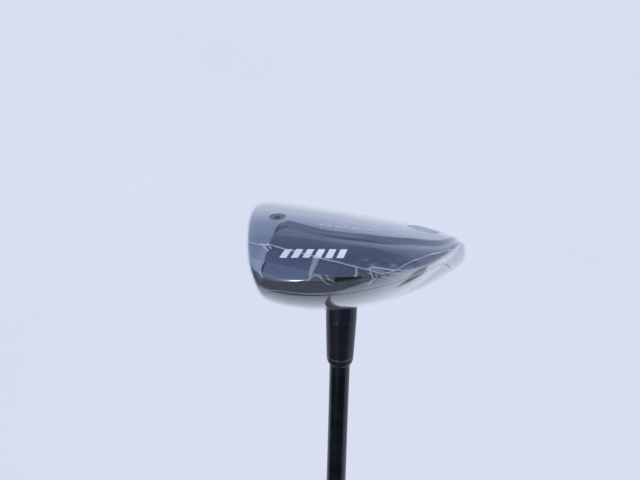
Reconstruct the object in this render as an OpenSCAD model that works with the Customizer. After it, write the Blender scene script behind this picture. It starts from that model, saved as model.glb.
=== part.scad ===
// Hybrid golf club, right-handed, with a hollow steel head, a graphite shaft and a rubber grip,
// and the clear shrink film that a new head is sold in.
// The shaft runs along +Z from the middle of the grip cap's outer face, at the origin, up to the head.
// The toe points to -Y, the face to -X, and the sole looks up and away from the toe.

/* [Club] */
// Length along the shaft, from the grip cap to where the shaft's axis meets the ground
club_length = 1016; // [900:1:1100]
// Lie angle between the shaft and the ground
lie = 60; // [54:0.5:66]
// Loft angle of the face
loft = 18; // [15:0.5:24]

/* [Head] */
// Height of the crown above the ground at its peak
head_height = 33.3; // [28:0.1:40]
// Reach of the toe from the middle of the head
toe_reach = 44.3; // [36:0.1:54]
// Reach of the heel from the middle of the head
heel_reach = 71.4; // [68:0.1:75]
// Middle of the head, measured along the sole from the shaft's axis
head_middle = 60.4; // [57:0.1:63]
// Reach of the rear edge behind the widest line of the head
rear_reach = 36.4; // [30:0.1:44]
// Distance of the widest line behind the shaft's axis
widest_line = 18.6; // [16:0.1:22]
// Distance of the leading edge in front of the shaft's axis
face_progression = 11.5; // [8:0.1:13]
// Radius of the face's bulge and roll
bulge_radius = 300; // [220:5:400]
// Wall of the steel body
body_wall = 1.6; // [1.2:0.1:2.4]
// Extra thickness of the sole
sole_extra = 0.7; // [0:0.1:1.5]
// Thickness of the crown panel
crown_wall = 1.1; // [0.8:0.1:1.4]

/* [Sole fittings] */
// Diameter of the port plug near the toe
port_d = 4.6; // [3.6:0.1:5.6]
// Length of the weight at the rear of the sole
weight_length = 34; // [24:1:42]
// Width of the weight
weight_width = 9; // [7:0.5:11]
// Thickness of the weight
weight_thickness = 4; // [3:0.5:5]

/* [Hosel and ferrule] */
// Outer diameter of the hosel
hosel_d = 13.8; // [13:0.1:15.5]
// Height of the hosel's end along the axis from the ground
hosel_top = 52; // [48:0.5:60]
// Depth of the shaft in the hosel
insertion = 31.8; // [26:0.1:34]
// Length of the ferrule
ferrule_length = 25.6; // [20:0.1:31]
// Diameter of the ferrule just before its rounded end
ferrule_end_d = 12.4; // [11.8:0.1:13.2]
// Width of the trim ring
ring_width = 0.8; // [0.5:0.1:1.2]

/* [Shaft] */
// Diameter of the shaft's tip
tip_d = 9.4; // [8.5:0.05:9.9]
// Diameter of the shaft's butt
butt_d = 15.24; // [14.2:0.02:15.8]
// Wall of the shaft
shaft_wall = 1.3; // [0.8:0.1:1.8]
// Length of the parallel stretch at the tip
tip_parallel = 90; // [70:1:110]
// Length of the parallel stretch at the butt
butt_parallel = 290; // [280:1:330]

/* [Grip] */
// Length of the grip, cap included
grip_length = 267; // [230:1:275]
// Thickness of the rubber at the cap
grip_butt_wall = 5.6; // [4:0.1:7]
// Thickness of the rubber at the grip's mouth
grip_mouth_wall = 1.5; // [1.2:0.1:2.5]
// Thickness of the cap
cap_thickness = 3; // [2:0.1:4]
// Diameter of the vent hole in the cap
vent_d = 3.2; // [2:0.1:4]

/* [Film] */
// Thickness of the shrink film
film_thickness = 0.15; // [0.1:0.01:0.3]
// Distance of the film off the head
film_gap = 0.3; // [0.2:0.05:0.5]

/* [Hidden] */

// Colours
paint = [0.05, 0.06, 0.08];
carbon = [0.10, 0.11, 0.14];
steel = [0.62, 0.64, 0.67];
black_plastic = [0.07, 0.08, 0.10];
black_rubber = [0.09, 0.09, 0.10];
glue_grey = [0.55, 0.56, 0.58];
film_clear = [0.80, 0.86, 0.95, 0.35];

// Grid of the head: columns around its plan, rows from the middle of the sole to the middle of the crown
columns = 60;
step_angle = 360 / columns;
sole_rows = 5;
side_rows = 8;
shoulder_rows = 2;
crown_rows = 5;
row_face_low = sole_rows;
row_face_high = row_face_low + side_rows;
row_seam = row_face_high + shoulder_rows;
rows = row_seam + crown_rows;
face_first_column = 38;
face_last_column = 52;

// Levels on the head, from -1 in the middle of the sole to 1 in the middle of the crown
face_level = 0.62;
rear_seam_level = 0.5;
front_seam_level = 0.88;

// Shape of the head
front_reach = 52;
toe_power = 2.66;
heel_power = 2.3;
dome_width_power = 5;
heel_dome_power = 9;
dome_height_power = 1.5;
toe_edge_share = 0.55;
heel_edge_share = 0.53;
front_edge_share = 0.50;
rear_edge_height = 3.6;
crown_peak = [43.2, 7.4];
crown_fall = [0.0009, 0.0096, 0.0074];
sole_low = [41, 11.4];
sole_rise = [0.0008, 0.0003, 0.0010];
heel_sole_rise = 0.0035;
face_blend = 1.9;
ledge_wall = 0.9;
heel_lean_start = 50;
heel_lean_run = 58;
face_middle = 38.4;

// Clearances
weld_gap = 0.1;
slip = 0.03;
bond_gap = 0.15;
seat_gap = 0.1;

// Hosel: its bore, its plug and its flare into the head
hosel_r = hosel_d / 2;
bore_r = tip_d / 2 + bond_gap;
plug_length = 3;
foot_height = 14;
foot_flare = 1.6;
flare_start_share = 0.35;
flare_steps = 8;

// Places along the club, measured on Z
hosel_end_z = club_length - hosel_top;
hosel_foot_z = club_length - foot_height;
tip_z = hosel_end_z + insertion;
ferrule_end_z = hosel_end_z - ferrule_length;

// Ferrule: its rounded end and the groove of its ring
ferrule_lip = 0.5;
rounding = 3.4;
ring_depth = 0.4;
ring_from_end = 3.8;

// Shaft and tip weight
tip_weight_length = 20;

// Grip
tape_thickness = 0.15;
tape_short = 4;
tape_r = butt_d / 2 + slip;
grip_bore_r = tape_r + tape_thickness + slip;
grip_butt_r = grip_bore_r + grip_butt_wall;
grip_mouth_r = grip_bore_r + grip_mouth_wall;
grip_steps = 12;
cap_rounding = 0.8;

// Port plug: its place on the head, its length and its hexagon socket
port_angle = 336;
port_level = -0.66;
port_length = 4;
port_sink = 0.15;
socket_d = 2.4;
socket_depth = 1.6;

// Rear weight: its place on the sole
weight_from_middle = 3;
weight_from_rear = 12;

// Seam of the film
seam_height = 0.9;
seam_half = 0.006;
seam_on_head = -0.26;
seam_gather = [28, 9, 0.23];
seam_from = -32;
seam_to = 80;
seam_steps = 56;

// ---- the head's surface ----
function smooth(x) = let (t = min(1, max(0, x))) t * t * (3 - 2 * t);
function toeward(angle) = pow(max(0, cos(angle)), 2);
function heelward(angle) = pow(max(0, -cos(angle)), 2);
function rearward(angle) = pow(max(0, sin(angle)), 2);
function frontward(angle) = pow(max(0, -sin(angle)), 2);

// Reach of the plan outline in a direction
function plan_reach(angle, inset) =
    let (
        along = (cos(angle) > 0 ? toe_reach : heel_reach) - inset,
        across = (sin(angle) > 0 ? rear_reach : front_reach) - inset,
        power = toe_power + (heel_power - toe_power) * heelward(angle)
    )
    pow(pow(abs(cos(angle)) / along, power) + pow(abs(sin(angle)) / across, power), -1 / power);

function crown_height(along, across) =
    head_height
    - crown_fall[0] * pow(along - crown_peak[0], 2)
    - crown_fall[across > crown_peak[1] ? 1 : 2] * pow(across - crown_peak[1], 2);

function sole_height(along, across) =
    (along > sole_low[0] ? sole_rise[0] : heel_sole_rise) * pow(along - sole_low[0], 2)
    + sole_rise[across > sole_low[1] ? 1 : 2] * pow(across - sole_low[1], 2);

// Height of the head's widest edge in a direction
function edge_height(angle) =
    head_height * (toe_edge_share * toeward(angle) + heel_edge_share * heelward(angle)
    + front_edge_share * frontward(angle)) + rear_edge_height * rearward(angle);

// Place of the lofted face, with its bulge and roll
function face_place(along, height) =
    -face_progression + height * tan(loft)
    + pow(along - face_middle, 2) / (2 * bulge_radius)
    + height * (height - head_height) / (2 * bulge_radius);

// A point of the head by direction and level; inset is inwards, and sole_inset is more at the sole
function head_point(angle, level, inset, sole_inset = 0) =
    let (
        swing = level * 90,
        width_power = dome_width_power + (heel_dome_power - dome_width_power) * heelward(angle),
        spread = pow(cos(swing), 2 / width_power),
        rise = pow(abs(sin(swing)), 2 / dome_height_power),
        reach = spread * plan_reach(angle, inset),
        along = head_middle + reach * cos(angle),
        across = widest_line + reach * sin(angle),
        edge = edge_height(angle),
        top = crown_height(along, across) - inset,
        bottom = sole_height(along, across) + inset + sole_inset,
        height = edge + rise * ((level > 0 ? top : bottom) - edge),
        face = face_place(along, height) + inset / cos(loft),
        blended = (across + face) / 2 + sqrt(pow(across - face, 2) + face_blend * face_blend) / 2,
        lean = smooth((heel_lean_start - along) / heel_lean_run) * height / tan(lie)
    )
    to_club([along - lean, blended, height]);

// From the head's own directions (along the sole, rearward, up) to the club's frame
function to_club(p) = [
    p[1],
    -p[0] * sin(lie) - p[2] * cos(lie),
    club_length + p[0] * cos(lie) - p[2] * sin(lie)
];

// The face stretch lies lower than the seam, and both climb towards the front
function seam_level(angle) =
    rear_seam_level + (front_seam_level - rear_seam_level) * smooth((-sin(angle) - 0.2) / 0.5);
function face_top(angle) = seam_level(angle) * face_level / front_seam_level;
function level_at(row, angle) =
    row <= row_face_low ? -1 + (1 - face_level) * row / sole_rows
    : row <= row_face_high ? -face_level + (face_top(angle) + face_level) * (row - row_face_low) / side_rows
    : row <= row_seam ? face_top(angle)
        + (seam_level(angle) - face_top(angle)) * (row - row_face_high) / shoulder_rows
    : seam_level(angle) + (1 - seam_level(angle)) * (row - row_seam) / crown_rows;

// ---- a skin of the head between two insets, over the cells that keep() names ----
function grid_index(row, column) =
    row == 0 ? 0
    : row == rows ? 1 + (rows - 1) * columns
    : 1 + (row - 1) * columns + (column + columns) % columns;
function grid_size() = 2 + (rows - 1) * columns;
function layer(inset, sole_inset) = concat(
    [head_point(0, -1, inset, sole_inset)],
    [for (row = [1 : rows - 1], column = [0 : columns - 1])
        let (angle = column * step_angle) head_point(angle, level_at(row, angle), inset, sole_inset)],
    [head_point(0, 1, inset, sole_inset)]
);
function cell_face(row, column, base, turned) =
    let (
        a = base + grid_index(row, column),
        b = base + grid_index(row, column + 1),
        c = base + grid_index(row + 1, column + 1),
        d = base + grid_index(row + 1, column),
        two = row == 0 ? [[a, c, d]] : row == rows - 1 ? [[a, b, c]] : [[a, b, c], [a, c, d]]
    )
    [for (t = two) turned ? [t[0], t[2], t[1]] : t];
// A wall is cut along the same diagonal from both sides, so that neighbours meet face to face
function wall_face(from, to) =
    let (below = from + grid_size(), beyond = to + grid_size())
    from < to ? [[from, below, beyond], [from, beyond, to]] : [[from, below, to], [below, beyond, to]];
function kept(keep, row, column) =
    row >= 0 && row < rows && keep(row, (column + columns) % columns);
function cell_walls(keep, row, column) = concat(
    kept(keep, row - 1, column) || row == 0 ? []
        : wall_face(grid_index(row, column), grid_index(row, column + 1)),
    kept(keep, row, column + 1) ? []
        : wall_face(grid_index(row, column + 1), grid_index(row + 1, column + 1)),
    kept(keep, row + 1, column) || row == rows - 1 ? []
        : wall_face(grid_index(row + 1, column + 1), grid_index(row + 1, column)),
    kept(keep, row, column - 1) ? []
        : wall_face(grid_index(row + 1, column), grid_index(row, column))
);

module skin(keep, outside, inside, sole_inset = 0) {
    cells = [for (row = [0 : rows - 1], column = [0 : columns - 1]) if (keep(row, column)) [row, column]];
    polyhedron(
        points = concat(layer(outside, 0), layer(inside, sole_inset)),
        faces = [for (cell = cells) each concat(
            cell_face(cell[0], cell[1], 0, false),
            cell_face(cell[0], cell[1], grid_size(), true),
            cell_walls(keep, cell[0], cell[1])
        )],
        convexity = 6
    );
}

// The whole head as one solid
module head_solid(inset) {
    cells = [for (row = [0 : rows - 1], column = [0 : columns - 1]) [row, column]];
    polyhedron(
        points = layer(inset, 0),
        faces = [for (cell = cells) each cell_face(cell[0], cell[1], 0, false)],
        convexity = 4
    );
}

in_face = function (row, column)
    row >= row_face_low && row < row_face_high && column >= face_first_column && column < face_last_column;
in_crown = function (row, column) row >= row_seam;
in_body = function (row, column) !in_face(row, column) && !in_crown(row, column);
in_ledge = function (row, column) row == row_seam;
in_ledge_root = function (row, column) row == row_seam || row == row_seam - 1;
in_rear_sole = function (row, column) row <= row_face_low + 2 && column >= 4 && column < 26;

// ---- places on the head ----
// Children are drawn with X rearward, Y towards the heel and Z down through the sole
module on_head() {
    translate([0, 0, club_length]) rotate([lie - 90, 0, 0]) children();
}

// Children are drawn with Z along the outward normal of the head at a point
module on_surface(angle, level) {
    spot = head_point(angle, level, 0);
    along = head_point(angle + 1, level, 0) - head_point(angle - 1, level, 0);
    upward = head_point(angle, level + 0.01, 0) - head_point(angle, level - 0.01, 0);
    outward = cross(upward, along) / norm(cross(upward, along));
    translate(spot)
        rotate([0, acos(outward[2]), atan2(outward[1], outward[0])])
            children();
}

// The hosel's outer shape, grown by a margin
module hosel_shape(margin) {
    flare_z = hosel_end_z + flare_start_share * (hosel_foot_z - hosel_end_z);
    rotate_extrude($fn = 96) polygon(concat(
        [[0, hosel_foot_z], [0, hosel_end_z], [hosel_r + margin, hosel_end_z]],
        [for (i = [0 : flare_steps]) let (t = i / flare_steps)
            [hosel_r + margin + foot_flare * smooth(t), flare_z + t * (hosel_foot_z - flare_z)]]
    ));
}

// Outline of the rear weight as a prism through the sole, grown by a margin
module weight_prism(margin) {
    half = (weight_length - weight_width) / 2;
    on_head()
        translate([widest_line + rear_reach - weight_from_rear, weight_from_middle - head_middle, -9])
            linear_extrude(14) hull() for (side = [-1, 1])
                translate([0, side * half]) circle(d = weight_width + 2 * margin, $fn = 32);
}

module port_cylinder(d, from, to) {
    on_surface(port_angle, port_level) translate([0, 0, from]) cylinder(d = d, h = to - from, $fn = 48);
}

// ---- the head ----
module head_body() {
    color(paint) difference() {
        union() {
            skin(in_body, 0, body_wall, sole_extra);
            skin(in_ledge_root, crown_wall + bond_gap, crown_wall + bond_gap + ledge_wall);
        }
        hosel_shape(weld_gap);
        port_cylinder(port_d + 2 * seat_gap, -port_length, 2);
        weight_prism(seat_gap);
    }
}

module face_plate() {
    color(steel) difference() {
        skin(in_face, 0, body_wall, sole_extra);
        hosel_shape(weld_gap);
    }
}

module crown_panel() {
    color(carbon) difference() {
        skin(in_crown, 0, crown_wall);
        hosel_shape(weld_gap);
    }
}

module crown_adhesive() {
    color(glue_grey) difference() {
        skin(in_ledge, crown_wall, crown_wall + bond_gap);
        hosel_shape(weld_gap);
    }
}

module port_plug() {
    color(steel) difference() {
        port_cylinder(port_d, -port_length, -port_sink);
        on_surface(port_angle, port_level)
            translate([0, 0, -port_sink - socket_depth])
                cylinder(d = socket_d, h = socket_depth + 1, $fn = 6);
    }
}

module rear_weight() {
    color(steel) intersection() {
        skin(in_rear_sole, 0, weight_thickness);
        weight_prism(0);
    }
}

module hosel() {
    color(paint) difference() {
        hosel_shape(0);
        translate([0, 0, hosel_end_z - 1])
            cylinder(r = bore_r, h = insertion + plug_length + 1, $fn = 96);
    }
}

module hosel_plug() {
    color(black_plastic) translate([0, 0, tip_z]) cylinder(r = bore_r - slip, h = plug_length, $fn = 64);
}

// ---- the shaft and what is bonded to it ----
module shaft() {
    taper_z = tip_z - tip_parallel;
    color(paint) rotate_extrude($fn = 96) polygon([
        [butt_d / 2, cap_thickness],
        [butt_d / 2, butt_parallel],
        [tip_d / 2, taper_z],
        [tip_d / 2, tip_z],
        [tip_d / 2 - shaft_wall, tip_z],
        [tip_d / 2 - shaft_wall, taper_z],
        [butt_d / 2 - shaft_wall, butt_parallel],
        [butt_d / 2 - shaft_wall, cap_thickness]
    ]);
}

module tube(inner_r, outer_r, from, to) {
    translate([0, 0, from]) difference() {
        cylinder(r = outer_r, h = to - from, $fn = 96);
        translate([0, 0, -1]) cylinder(r = inner_r, h = to - from + 2, $fn = 96);
    }
}

module shaft_epoxy() {
    color(glue_grey) tube(tip_d / 2 + slip / 2, bore_r - slip / 2, hosel_end_z, tip_z);
}

module tip_weight() {
    color(steel) translate([0, 0, tip_z - tip_weight_length])
        cylinder(r = tip_d / 2 - shaft_wall - slip, h = tip_weight_length, $fn = 64);
}

// Radius of the ferrule at a height above its lower end
function ferrule_r(h) =
    let (end_r = ferrule_end_d / 2, lip_r = tip_d / 2 + ferrule_lip)
    h >= rounding ? end_r + (hosel_r - end_r) * (h - rounding) / (ferrule_length - rounding)
    : lip_r + (end_r - lip_r) * sqrt(1 - pow(1 - h / rounding, 2));

module ferrule() {
    ring_z = ferrule_end_z + ring_from_end;
    color(black_plastic) difference() {
        rotate_extrude($fn = 96) polygon(concat(
            [[0, ferrule_end_z]],
            [for (i = [0 : 8]) [ferrule_r(rounding * i / 8), ferrule_end_z + rounding * i / 8]],
            [[hosel_r, hosel_end_z], [0, hosel_end_z]]
        ));
        translate([0, 0, ferrule_end_z - 1]) cylinder(r = tip_d / 2 + slip, h = ferrule_length + 2, $fn = 96);
        tube(ferrule_r(ring_from_end) - ring_depth, hosel_r + 1, ring_z, ring_z + ring_width);
    }
}

module ferrule_ring() {
    ring_z = ferrule_end_z + ring_from_end;
    color(steel) tube(ferrule_r(ring_from_end) - ring_depth + slip, ferrule_r(ring_from_end) + slip,
        ring_z + slip, ring_z + ring_width - slip);
}

// ---- the grip ----
module grip_tape() {
    color(glue_grey) tube(tape_r, tape_r + tape_thickness, cap_thickness, grip_length - tape_short);
}

// Radius of the grip at a share of its length, swelling towards the cap
function grip_r(share) = grip_mouth_r + (grip_butt_r - grip_mouth_r) * pow(1 - share, 1.35);

module grip() {
    color(black_rubber) difference() {
        rotate_extrude($fn = 96) polygon(concat(
            [[0, cap_thickness]],
            [for (i = [0 : grip_steps]) let (share = i / grip_steps)
                [grip_r(share), cap_thickness + share * (grip_length - cap_thickness)]],
            [[0, grip_length]]
        ));
        translate([0, 0, cap_thickness - 1]) cylinder(r = grip_bore_r, h = grip_length, $fn = 96);
    }
}

module grip_cap() {
    color(black_rubber) difference() {
        rotate_extrude($fn = 96) polygon([
            [0, 0],
            [grip_butt_r - cap_rounding, 0],
            [grip_butt_r, cap_rounding],
            [grip_butt_r, cap_thickness],
            [0, cap_thickness]
        ]);
        translate([0, 0, -1]) cylinder(d = vent_d, h = cap_thickness + 2, $fn = 48);
    }
}

// ---- the film ----
module shrink_film() {
    color(film_clear) difference() {
        head_solid(-film_gap - film_thickness);
        head_solid(-film_gap);
        hosel_shape(film_gap);
    }
}

// The heat-sealed seam stands off the film as a thin fin along the toe and the rear
module film_seam() {
    root = -film_gap - film_thickness - slip;
    stations = [for (i = [0 : seam_steps]) seam_from + i * (seam_to - seam_from) / seam_steps];
    function seam_line(angle) =
        seam_on_head + seam_gather[2] * exp(-pow((angle - seam_gather[0]) / seam_gather[1], 2));
    color(film_clear) polyhedron(
        points = [for (angle = stations) each [
            head_point(angle, seam_line(angle) - seam_half, root),
            head_point(angle, seam_line(angle) - seam_half, root - seam_height),
            head_point(angle, seam_line(angle) + seam_half, root - seam_height),
            head_point(angle, seam_line(angle) + seam_half, root)
        ]],
        faces = concat(
            [[0, 1, 2], [0, 2, 3]],
            [for (i = [0 : seam_steps - 1], k = [0 : 3]) let (a = 4 * i + k, b = 4 * i + (k + 1) % 4)
                each [[a, a + 4, b + 4], [a, b + 4, b]]],
            let (last = 4 * seam_steps) [[last, last + 2, last + 1], [last, last + 3, last + 2]]
        )
    );
}

head_body();
face_plate();
crown_panel();
crown_adhesive();
port_plug();
rear_weight();
hosel();
hosel_plug();
shaft();
shaft_epoxy();
tip_weight();
ferrule();
ferrule_ring();
grip_tape();
grip();
grip_cap();
shrink_film();
film_seam();
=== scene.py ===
# Hybrid golf club in clear shrink film, standing on its grip: the looks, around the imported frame
import math
import bmesh
import bpy
import numpy as np
from mathutils import Matrix, Vector
from mathutils.bvhtree import BVHTree


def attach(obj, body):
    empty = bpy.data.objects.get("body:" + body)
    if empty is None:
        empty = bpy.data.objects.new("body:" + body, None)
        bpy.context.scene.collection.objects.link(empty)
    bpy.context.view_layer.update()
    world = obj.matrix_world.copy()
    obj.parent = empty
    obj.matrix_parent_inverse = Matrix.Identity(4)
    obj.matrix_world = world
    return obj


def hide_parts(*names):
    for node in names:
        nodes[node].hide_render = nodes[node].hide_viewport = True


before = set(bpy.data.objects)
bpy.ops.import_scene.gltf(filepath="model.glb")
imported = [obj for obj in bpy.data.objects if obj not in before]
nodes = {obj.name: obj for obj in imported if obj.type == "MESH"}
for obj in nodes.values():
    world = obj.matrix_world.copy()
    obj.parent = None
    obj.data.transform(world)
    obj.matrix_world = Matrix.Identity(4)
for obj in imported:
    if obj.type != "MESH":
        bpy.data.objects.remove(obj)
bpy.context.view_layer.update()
mm = 0.001  # sizes below are in millimetres, meshes in metres

# the head's surface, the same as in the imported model
print("stage: head surface")
head = dict(
    clubLength=1016, lie=60, loft=18, height=33.3, toeReach=44.3, heelReach=71.4, middle=60.4,
    rearReach=36.4, frontReach=52, widestLine=18.6, faceProgression=11.5, bulgeRadius=300,
    toePower=2.66, heelPower=2.3, widthPower=5, heelWidthPower=9, heightPower=1.5,
    toeEdge=0.55, heelEdge=0.53, frontEdge=0.50, rearEdge=3.6,
    crownPeak=(43.2, 7.4), crownFall=(0.0009, 0.0096, 0.0074),
    soleLow=(41, 11.4), soleRise=(0.0008, 0.0003, 0.0010), heelSoleRise=0.0035,
    faceBlend=1.9, leanStart=50, leanRun=58, faceMiddle=38.4,
    faceLevel=0.62, rearSeam=0.5, frontSeam=0.88, faceFrom=228, faceTo=312)


def smooth(x):
    t = np.clip(x, 0, 1)
    return t * t * (3 - 2 * t)


def clubPoint(along, across, up):
    lie = math.radians(head["lie"])
    return np.stack([
        across + 0 * along,
        -along * math.sin(lie) - up * math.cos(lie),
        head["clubLength"] + along * math.cos(lie) - up * math.sin(lie)], axis=-1)


def facePlace(along, up):
    return (-head["faceProgression"] + up * math.tan(math.radians(head["loft"]))
            + (along - head["faceMiddle"]) ** 2 / (2 * head["bulgeRadius"])
            + up * (up - head["height"]) / (2 * head["bulgeRadius"]))


def headPoints(angle, level, inset=0.0):
    # angle from the toe towards the rear, level from -1 in the sole to 1 in the crown
    angle, level = np.broadcast_arrays(np.asarray(angle, float), np.asarray(level, float))
    c, s = np.cos(np.radians(angle)), np.sin(np.radians(angle))
    toeward, heelward = np.maximum(0, c) ** 2, np.maximum(0, -c) ** 2
    rearward, frontward = np.maximum(0, s) ** 2, np.maximum(0, -s) ** 2
    reachAlong = np.where(c > 0, head["toeReach"], head["heelReach"]) - inset
    reachAcross = np.where(s > 0, head["rearReach"], head["frontReach"]) - inset
    power = head["toePower"] + (head["heelPower"] - head["toePower"]) * heelward
    reach = (np.abs(c / reachAlong) ** power + np.abs(s / reachAcross) ** power) ** (-1 / power)
    widthPower = head["widthPower"] + (head["heelWidthPower"] - head["widthPower"]) * heelward
    swing = np.radians(level * 90)
    spread = np.maximum(np.cos(swing), 0) ** (2 / widthPower)
    rise = np.abs(np.sin(swing)) ** (2 / head["heightPower"])
    along = head["middle"] + spread * reach * c
    across = head["widestLine"] + spread * reach * s
    edge = (head["height"] * (head["toeEdge"] * toeward + head["heelEdge"] * heelward
                              + head["frontEdge"] * frontward) + head["rearEdge"] * rearward)
    peak, fall, low, climb = head["crownPeak"], head["crownFall"], head["soleLow"], head["soleRise"]
    top = (head["height"] - fall[0] * (along - peak[0]) ** 2
           - np.where(across > peak[1], fall[1], fall[2]) * (across - peak[1]) ** 2 - inset)
    bottom = (np.where(along > low[0], climb[0], head["heelSoleRise"]) * (along - low[0]) ** 2
              + np.where(across > low[1], climb[1], climb[2]) * (across - low[1]) ** 2 + inset)
    up = edge + rise * (np.where(level > 0, top, bottom) - edge)
    face = facePlace(along, up) + inset / math.cos(math.radians(head["loft"]))
    across = (across + face) / 2 + np.sqrt((across - face) ** 2 + head["faceBlend"] ** 2) / 2
    lean = (smooth((head["leanStart"] - along) / head["leanRun"]) * up
            / math.tan(math.radians(head["lie"])))
    return clubPoint(along - lean, across, up)


def outwardAt(angle, level, inset=0.0):
    level = np.clip(level, -0.997, 0.997)
    around = headPoints(angle + 0.4, level, inset) - headPoints(angle - 0.4, level, inset)
    upward = headPoints(angle, level + 0.003, inset) - headPoints(angle, level - 0.003, inset)
    normal = np.cross(upward, around)
    return normal / np.maximum(np.linalg.norm(normal, axis=-1, keepdims=True), 1e-9)


def curveOf(table):
    # a smooth closed curve of level over angle, through a table of (angle, level)
    a, v = np.array(table, float).T
    a, v = np.concatenate([a - 360, a, a + 360]), np.concatenate([v, v, v])
    fine = np.arange(-360, 720, 1.0)
    values = np.interp(fine, a, v)
    weights = np.exp(-np.linspace(-2, 2, 9) ** 2)
    values = np.convolve(np.pad(values, 4, mode="edge"), weights / weights.sum(), mode="valid")
    return lambda angle: np.interp(np.mod(angle, 360), fine, values)


# mesh helpers
def addObject(name, points, faces, materials, slots=None):
    mesh = bpy.data.meshes.new(name)
    mesh.from_pydata((np.asarray(points, float) * mm).tolist(), [], [list(map(int, f)) for f in faces])
    for material in materials if isinstance(materials, (list, tuple)) else [materials]:
        mesh.materials.append(material)
    if slots is not None:
        mesh.polygons.foreach_set("material_index", np.asarray(slots, np.int32))
    mesh.polygons.foreach_set("use_smooth", [True] * len(mesh.polygons))
    mesh.update()
    thing = bpy.data.objects.new(name, mesh)
    bpy.context.scene.collection.objects.link(thing)
    return thing


def applyAll(thing):
    graph = bpy.context.evaluated_depsgraph_get()
    mesh = bpy.data.meshes.new_from_object(thing.evaluated_get(graph), preserve_all_data_layers=True,
                                           depsgraph=graph)
    thing.modifiers.clear()
    thing.data = mesh
    return thing


def sharpen(thing, angle=32):
    thing.data.shade_smooth()
    thing.data.set_sharp_from_angle(angle=math.radians(angle))
    return thing


def weld(thing, distance=0.0005):
    work = bmesh.new()
    work.from_mesh(thing.data)
    bmesh.ops.remove_doubles(work, verts=work.verts, dist=distance * mm)
    bmesh.ops.dissolve_degenerate(work, edges=work.edges, dist=distance * mm * 0.5)
    work.to_mesh(thing.data)
    work.free()
    return thing


def faceOutward(thing, joinWithin=None):
    work = bmesh.new()
    work.from_mesh(thing.data)
    if joinWithin:
        bmesh.ops.remove_doubles(work, verts=work.verts, dist=joinWithin)
    bmesh.ops.recalc_face_normals(work, faces=work.faces)
    work.to_mesh(thing.data)
    work.free()


def cutBy(thing, *cutters, operation="DIFFERENCE"):
    for cutter in cutters:
        cut = thing.modifiers.new("cut", "BOOLEAN")
        cut.object, cut.operation, cut.solver = cutter, operation, "EXACT"
    applyAll(thing)
    return thing


def discard(*things):
    for thing in things:
        bpy.data.objects.remove(thing, do_unlink=True)


def finishPiece(thing, slotName, *replaced):
    if replaced:
        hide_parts(*replaced)
    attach(thing, "root")
    return thing


def lathe(name, profile, material, segments=128, closed=True, slots=None):
    # profile is a list of (radius, height); a closed one makes a tube-like solid
    profile = np.asarray(profile, float)
    turn = np.linspace(0, 2 * np.pi, segments, endpoint=False)
    rings = np.stack([profile[:, :1] * np.cos(turn), profile[:, :1] * np.sin(turn),
                      np.repeat(profile[:, 1:], segments, axis=1)], axis=-1)
    count = len(profile)
    faces, marks = [], []
    for i in range(count if closed else count - 1):
        for j in range(segments):
            k, l = (j + 1) % segments, (i + 1) % count
            faces.append((i * segments + j, i * segments + k, l * segments + k, l * segments + j))
            marks.append(0 if slots is None else slots[i])
    thing = addObject(name, rings.reshape(-1, 3), faces, material, marks)
    faceOutward(thing, joinWithin=1e-7)
    return thing


# shader helpers
def socketOf(tree, kind, name, default=None, direction="INPUT"):
    socket = tree.interface.new_socket(name=name, in_out=direction, socket_type=kind)
    if default is not None:
        socket.default_value = default
    return socket


def mathNode(tree, operation, first, second=None, clamp=False):
    node = tree.nodes.new("ShaderNodeMath")
    node.operation, node.use_clamp = operation, clamp
    for i, value in enumerate((first, second)):
        if value is None:
            continue
        if isinstance(value, (int, float)):
            node.inputs[i].default_value = value
        else:
            tree.links.new(value, node.inputs[i])
    return node.outputs[0]


def rangeNode(tree, value, fromLow, fromHigh, toLow=0.0, toHigh=1.0):
    node = tree.nodes.new("ShaderNodeMapRange")
    for i, entry in enumerate((value, fromLow, fromHigh, toLow, toHigh)):
        if isinstance(entry, (int, float)):
            node.inputs[i].default_value = entry
        else:
            tree.links.new(entry, node.inputs[i])
    return node.outputs[0]


def noiseNode(tree, vector, scale, detail=3.0, roughness=0.5, distortion=0.0):
    node = tree.nodes.new("ShaderNodeTexNoise")
    tree.links.new(vector, node.inputs["Vector"])
    if isinstance(scale, (int, float)):
        node.inputs["Scale"].default_value = scale
    else:
        tree.links.new(scale, node.inputs["Scale"])
    node.inputs["Detail"].default_value = detail
    node.inputs["Roughness"].default_value = roughness
    node.inputs["Distortion"].default_value = distortion
    return node.outputs["Fac"]


def stretched(tree, vector, scale):
    node = tree.nodes.new("ShaderNodeMapping")
    tree.links.new(vector, node.inputs["Vector"])
    node.inputs["Scale"].default_value = scale
    return node.outputs["Vector"]


def buildSurfaceGrain():
    # fine unevenness: a height for bump and a mask that moves roughness and colour a little
    tree = bpy.data.node_groups.new("surfaceGrain", "ShaderNodeTree")
    socketOf(tree, "NodeSocketVector", "Vector")
    socketOf(tree, "NodeSocketFloat", "Grain Scale", 900.0)
    socketOf(tree, "NodeSocketFloat", "Cloud Scale", 60.0)
    socketOf(tree, "NodeSocketFloat", "Height", None, "OUTPUT")
    socketOf(tree, "NodeSocketFloat", "Cloud", None, "OUTPUT")
    inside, outside = tree.nodes.new("NodeGroupInput"), tree.nodes.new("NodeGroupOutput")
    fine = noiseNode(tree, inside.outputs["Vector"], inside.outputs["Grain Scale"], 4.0, 0.6)
    cloud = noiseNode(tree, inside.outputs["Vector"], inside.outputs["Cloud Scale"], 3.0, 0.5)
    tree.links.new(fine, outside.inputs["Height"])
    tree.links.new(rangeNode(tree, cloud, 0.3, 0.7), outside.inputs["Cloud"])
    return tree


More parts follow.
